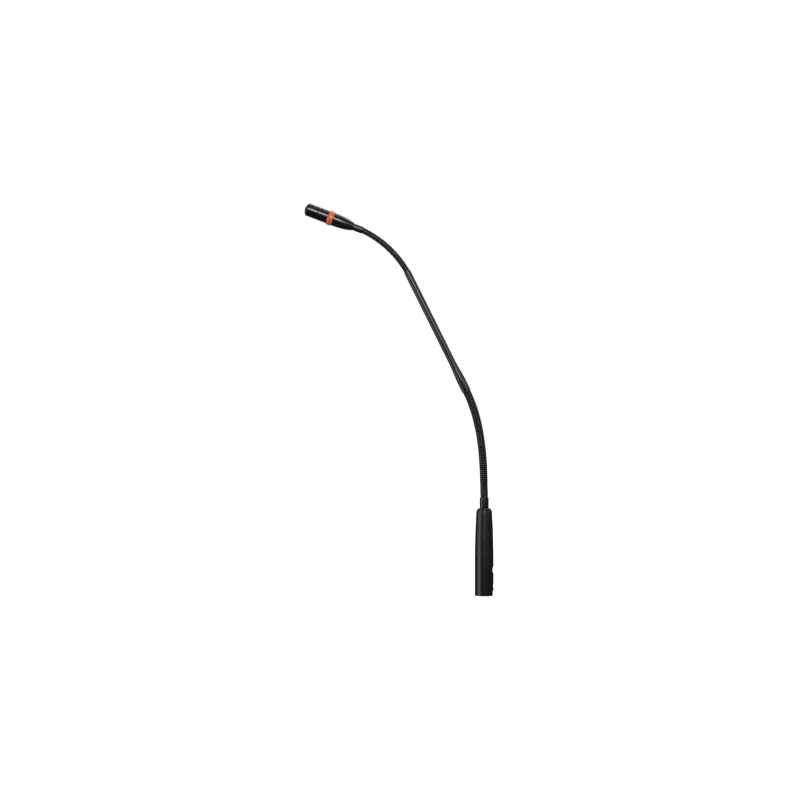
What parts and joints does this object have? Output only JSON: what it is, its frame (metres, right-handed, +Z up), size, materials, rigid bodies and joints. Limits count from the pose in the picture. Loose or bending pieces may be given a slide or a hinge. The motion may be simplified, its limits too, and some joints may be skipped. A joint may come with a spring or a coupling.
{
  "type": "gooseneck podium microphone",
  "caption": "Slim gooseneck podium microphone: tapered base ending in an XLR plug, flexible neck with a rigid middle tube, and a slotted capsule head with a light ring.",
  "frame": {"origin": "centre of the base's bottom rim, where the plug end goes into its socket", "axes": "+Z up along the base, out of the socket; the neck leans and the head points towards -X; +Y completes the right-handed frame and is the thin direction"},
  "size_m": [0.1911, 0.0192, 0.3962],
  "materials": {
    "satin_black_metal": "satin black paint over metal",
    "gloss_black_metal": "semi-gloss black paint over metal",
    "neck_steel": "black oxide on wound steel wire",
    "red_lens": "translucent orange-red moulded ring",
    "contact_carrier": "moulded black plastic",
    "silver_contact": "silver-plated brass",
    "zinc_steel": "zinc-plated steel",
    "circuit_board": "green solder mask",
    "lamp_resin": "cast resin",
    "chip_resin": "moulded epoxy",
    "capacitor_can": "drawn can",
    "cable_jacket": "soft grey jacket",
    "dark_mesh": "blackened woven wire",
    "capsule_can": "turned can",
    "seal_rubber": "moulded rubber"
  },
  "bodies": {
    "base": {"base_housing": "satin_black_metal", "base_top_cap": "satin_black_metal", "neck_collar": "satin_black_metal", "collar_nut": "zinc_steel", "lock_washer": "zinc_steel", "xlr_insert": "contact_carrier", "xlr_pin_1": "silver_contact", "xlr_pin_2": "silver_contact", "xlr_pin_3": "silver_contact", "insert_screw": "zinc_steel", "ground_spring": "zinc_steel", "preamp_board": "circuit_board", "preamp_chip": "chip_resin", "coupling_capacitor_1": "capacitor_can", "coupling_capacitor_2": "capacitor_can"},
    "lower_neck_link_01": {"lower_neck_link_01": "neck_steel"},
    "lower_neck_link_02": {"lower_neck_link_02": "neck_steel"},
    "lower_neck_link_03": {"lower_neck_link_03": "neck_steel"},
    "lower_neck_link_04": {"lower_neck_link_04": "neck_steel"},
    "lower_neck_link_05": {"lower_neck_link_05": "neck_steel"},
    "lower_neck_link_06": {"lower_neck_link_06": "neck_steel"},
    "lower_neck_link_07": {"lower_neck_link_07": "neck_steel"},
    "lower_neck_link_08": {"lower_neck_link_08": "neck_steel"},
    "lower_neck_link_09": {"lower_neck_link_09": "neck_steel"},
    "lower_neck_link_10": {"lower_neck_link_10": "neck_steel"},
    "lower_neck_link_11": {"lower_neck_link_11": "neck_steel"},
    "lower_neck_link_12": {"lower_neck_link_12": "neck_steel"},
    "lower_neck_link_13": {"lower_neck_link_13": "neck_steel"},
    "lower_neck_link_14": {"lower_neck_link_14": "neck_steel"},
    "lower_neck_link_15": {"lower_neck_link_15": "neck_steel"},
    "lower_neck_link_16": {"lower_neck_link_16": "neck_steel"},
    "tube": {"rigid_tube": "satin_black_metal", "signal_cable": "cable_jacket"},
    "upper_neck_link_01": {"upper_neck_link_01": "neck_steel"},
    "upper_neck_link_02": {"upper_neck_link_02": "neck_steel"},
    "upper_neck_link_03": {"upper_neck_link_03": "neck_steel"},
    "upper_neck_link_04": {"upper_neck_link_04": "neck_steel"},
    "upper_neck_link_05": {"upper_neck_link_05": "neck_steel"},
    "upper_neck_link_06": {"upper_neck_link_06": "neck_steel"},
    "upper_neck_link_07": {"upper_neck_link_07": "neck_steel"},
    "upper_neck_link_08": {"upper_neck_link_08": "neck_steel"},
    "upper_neck_link_09": {"upper_neck_link_09": "neck_steel"},
    "upper_neck_link_10": {"upper_neck_link_10": "neck_steel"},
    "upper_neck_link_11": {"upper_neck_link_11": "neck_steel"},
    "upper_neck_link_12": {"upper_neck_link_12": "neck_steel"},
    "head": {"head_ferrule": "satin_black_metal", "head_body": "gloss_black_metal", "led_ring": "red_lens", "led_board": "circuit_board", "led_1": "lamp_resin", "led_2": "lamp_resin", "led_3": "lamp_resin", "led_4": "lamp_resin", "capsule_housing": "gloss_black_metal", "capsule_cap": "gloss_black_metal", "mesh_lining": "dark_mesh", "front_mesh": "dark_mesh", "capsule_seal": "seal_rubber", "capsule": "capsule_can"}
  },
  "joints": [
    {"name": "lower_bend", "type": "hinge", "parent": "base", "child": "lower_neck_link_01", "pos_m": [-0.00003, 0, 0.1005], "axis": [0, -1, 0], "range_deg": [-12.9, 7.1], "deforming": ["signal_cable"]},
    {"name": "lower_side", "type": "hinge", "parent": "lower_neck_link_01", "child": "lower_neck_link_02", "pos_m": [-0.00015, 0, 0.10719], "axis": [0.9997, 0, 0.0225], "range_deg": [-11.25, 11.25]},
    {"name": "lower_bend_2", "type": "hinge", "parent": "lower_neck_link_02", "child": "lower_neck_link_03", "pos_m": [-0.0003, 0, 0.11387], "axis": [0, -1, 0], "range_deg": [-12.9, 7.1]},
    {"name": "lower_side_2", "type": "hinge", "parent": "lower_neck_link_03", "child": "lower_neck_link_04", "pos_m": [-0.0005, 0, 0.12055], "axis": [0.9992, 0, 0.0403], "range_deg": [-11.25, 11.25]},
    {"name": "lower_bend_3", "type": "hinge", "parent": "lower_neck_link_04", "child": "lower_neck_link_05", "pos_m": [-0.00077, 0, 0.12724], "axis": [0, -1, 0], "range_deg": [-12.9, 7.1]},
    {"name": "lower_side_3", "type": "hinge", "parent": "lower_neck_link_05", "child": "lower_neck_link_06", "pos_m": [-0.00113, 0, 0.13392], "axis": [0.9975, 0, 0.0712], "range_deg": [-11.25, 11.25]},
    {"name": "lower_bend_4", "type": "hinge", "parent": "lower_neck_link_06", "child": "lower_neck_link_07", "pos_m": [-0.00161, 0, 0.14059], "axis": [0, -1, 0], "range_deg": [-12.9, 7.1]},
    {"name": "lower_side_4", "type": "hinge", "parent": "lower_neck_link_07", "child": "lower_neck_link_08", "pos_m": [-0.00222, 0, 0.14724], "axis": [0.9934, 0, 0.1151], "range_deg": [-11.25, 11.25]},
    {"name": "lower_bend_5", "type": "hinge", "parent": "lower_neck_link_08", "child": "lower_neck_link_09", "pos_m": [-0.00299, 0, 0.15389], "axis": [0, -1, 0], "range_deg": [-12.9, 7.1]},
    {"name": "lower_side_5", "type": "hinge", "parent": "lower_neck_link_09", "child": "lower_neck_link_10", "pos_m": [-0.00394, 0, 0.16051], "axis": [0.9852, 0, 0.1717], "range_deg": [-11.25, 11.25]},
    {"name": "lower_bend_6", "type": "hinge", "parent": "lower_neck_link_10", "child": "lower_neck_link_11", "pos_m": [-0.00509, 0, 0.1671], "axis": [0, -1, 0], "range_deg": [-12.9, 7.1]},
    {"name": "lower_side_6", "type": "hinge", "parent": "lower_neck_link_11", "child": "lower_neck_link_12", "pos_m": [-0.00645, 0, 0.17364], "axis": [0.9707, 0, 0.2404], "range_deg": [-11.25, 11.25]},
    {"name": "lower_bend_7", "type": "hinge", "parent": "lower_neck_link_12", "child": "lower_neck_link_13", "pos_m": [-0.00806, 0, 0.18013], "axis": [0, -1, 0], "range_deg": [-12.9, 7.1]},
    {"name": "lower_side_7", "type": "hinge", "parent": "lower_neck_link_13", "child": "lower_neck_link_14", "pos_m": [-0.00993, 0, 0.18655], "axis": [0.9473, 0, 0.3205], "range_deg": [-11.25, 11.25]},
    {"name": "lower_bend_8", "type": "hinge", "parent": "lower_neck_link_14", "child": "lower_neck_link_15", "pos_m": [-0.01207, 0, 0.19289], "axis": [0, -1, 0], "range_deg": [-12.9, 7.1]},
    {"name": "lower_side_8", "type": "hinge", "parent": "lower_neck_link_15", "child": "lower_neck_link_16", "pos_m": [-0.01451, 0, 0.19911], "axis": [0.912, 0, 0.4102], "range_deg": [-11.25, 11.25]},
    {"name": "lower_bend_9", "type": "hinge", "parent": "lower_neck_link_16", "child": "tube", "pos_m": [-0.01725, 0, 0.20521], "axis": [0, -1, 0], "range_deg": [-12.9, 7.1]},
    {"name": "upper_bend", "type": "hinge", "parent": "tube", "child": "upper_neck_link_01", "pos_m": [-0.07854, 0, 0.32852], "axis": [0, -1, 0], "range_deg": [-18.9, 6.8]},
    {"name": "upper_side", "type": "hinge", "parent": "upper_neck_link_01", "child": "upper_neck_link_02", "pos_m": [-0.08118, 0, 0.33272], "axis": [0.82, 0, 0.5723], "range_deg": [-15, 15]},
    {"name": "upper_bend_2", "type": "hinge", "parent": "upper_neck_link_02", "child": "upper_neck_link_03", "pos_m": [-0.08403, 0, 0.3368], "axis": [0, -1, 0], "range_deg": [-18.9, 6.8]},
    {"name": "upper_side_2", "type": "hinge", "parent": "upper_neck_link_03", "child": "upper_neck_link_04", "pos_m": [-0.08706, 0, 0.34073], "axis": [0.7611, 0, 0.6487], "range_deg": [-15, 15]},
    {"name": "upper_bend_3", "type": "hinge", "parent": "upper_neck_link_04", "child": "upper_neck_link_05", "pos_m": [-0.09028, 0, 0.34451], "axis": [0, -1, 0], "range_deg": [-18.9, 6.8]},
    {"name": "upper_side_3", "type": "hinge", "parent": "upper_neck_link_05", "child": "upper_neck_link_06", "pos_m": [-0.09368, 0, 0.34813], "axis": [0.6951, 0, 0.7189], "range_deg": [-15, 15]},
    {"name": "upper_bend_4", "type": "hinge", "parent": "upper_neck_link_06", "child": "upper_neck_link_07", "pos_m": [-0.09725, 0, 0.35158], "axis": [0, -1, 0], "range_deg": [-18.9, 6.8]},
    {"name": "upper_side_4", "type": "hinge", "parent": "upper_neck_link_07", "child": "upper_neck_link_08", "pos_m": [-0.10099, 0, 0.35485], "axis": [0.6226, 0, 0.7826], "range_deg": [-15, 15]},
    {"name": "upper_bend_5", "type": "hinge", "parent": "upper_neck_link_08", "child": "upper_neck_link_09", "pos_m": [-0.10487, 0, 0.35794], "axis": [0, -1, 0], "range_deg": [-18.9, 6.8]},
    {"name": "upper_side_5", "type": "hinge", "parent": "upper_neck_link_09", "child": "upper_neck_link_10", "pos_m": [-0.1089, 0, 0.36085], "axis": [0.5443, 0, 0.8389], "range_deg": [-15, 15]},
    {"name": "upper_bend_6", "type": "hinge", "parent": "upper_neck_link_10", "child": "upper_neck_link_11", "pos_m": [-0.11307, 0, 0.36355], "axis": [0, -1, 0], "range_deg": [-18.9, 6.8]},
    {"name": "upper_side_6", "type": "hinge", "parent": "upper_neck_link_11", "child": "upper_neck_link_12", "pos_m": [-0.11736, 0, 0.36605], "axis": [0.461, 0, 0.8874], "range_deg": [-15, 15]},
    {"name": "upper_bend_7", "type": "hinge", "parent": "upper_neck_link_12", "child": "head", "pos_m": [-0.12177, 0, 0.36834], "axis": [0, -1, 0], "range_deg": [-18.9, 6.8]}
  ],
  "couplings": [
    {"joint": "lower_bend_2", "follows": "lower_bend", "ratio": 1},
    {"joint": "lower_side_2", "follows": "lower_side", "ratio": 1},
    {"joint": "lower_bend_3", "follows": "lower_bend", "ratio": 1},
    {"joint": "lower_side_3", "follows": "lower_side", "ratio": 1},
    {"joint": "lower_bend_4", "follows": "lower_bend", "ratio": 1},
    {"joint": "lower_side_4", "follows": "lower_side", "ratio": 1},
    {"joint": "lower_bend_5", "follows": "lower_bend", "ratio": 1},
    {"joint": "lower_side_5", "follows": "lower_side", "ratio": 1},
    {"joint": "lower_bend_6", "follows": "lower_bend", "ratio": 1},
    {"joint": "lower_side_6", "follows": "lower_side", "ratio": 1},
    {"joint": "lower_bend_7", "follows": "lower_bend", "ratio": 1},
    {"joint": "lower_side_7", "follows": "lower_side", "ratio": 1},
    {"joint": "lower_bend_8", "follows": "lower_bend", "ratio": 1},
    {"joint": "lower_side_8", "follows": "lower_side", "ratio": 1},
    {"joint": "lower_bend_9", "follows": "lower_bend", "ratio": 1},
    {"joint": "upper_bend_2", "follows": "upper_bend", "ratio": 1},
    {"joint": "upper_side_2", "follows": "upper_side", "ratio": 1},
    {"joint": "upper_bend_3", "follows": "upper_bend", "ratio": 1},
    {"joint": "upper_side_3", "follows": "upper_side", "ratio": 1},
    {"joint": "upper_bend_4", "follows": "upper_bend", "ratio": 1},
    {"joint": "upper_side_4", "follows": "upper_side", "ratio": 1},
    {"joint": "upper_bend_5", "follows": "upper_bend", "ratio": 1},
    {"joint": "upper_side_5", "follows": "upper_side", "ratio": 1},
    {"joint": "upper_bend_6", "follows": "upper_bend", "ratio": 1},
    {"joint": "upper_side_6", "follows": "upper_side", "ratio": 1},
    {"joint": "upper_bend_7", "follows": "upper_bend", "ratio": 1}
  ]
}
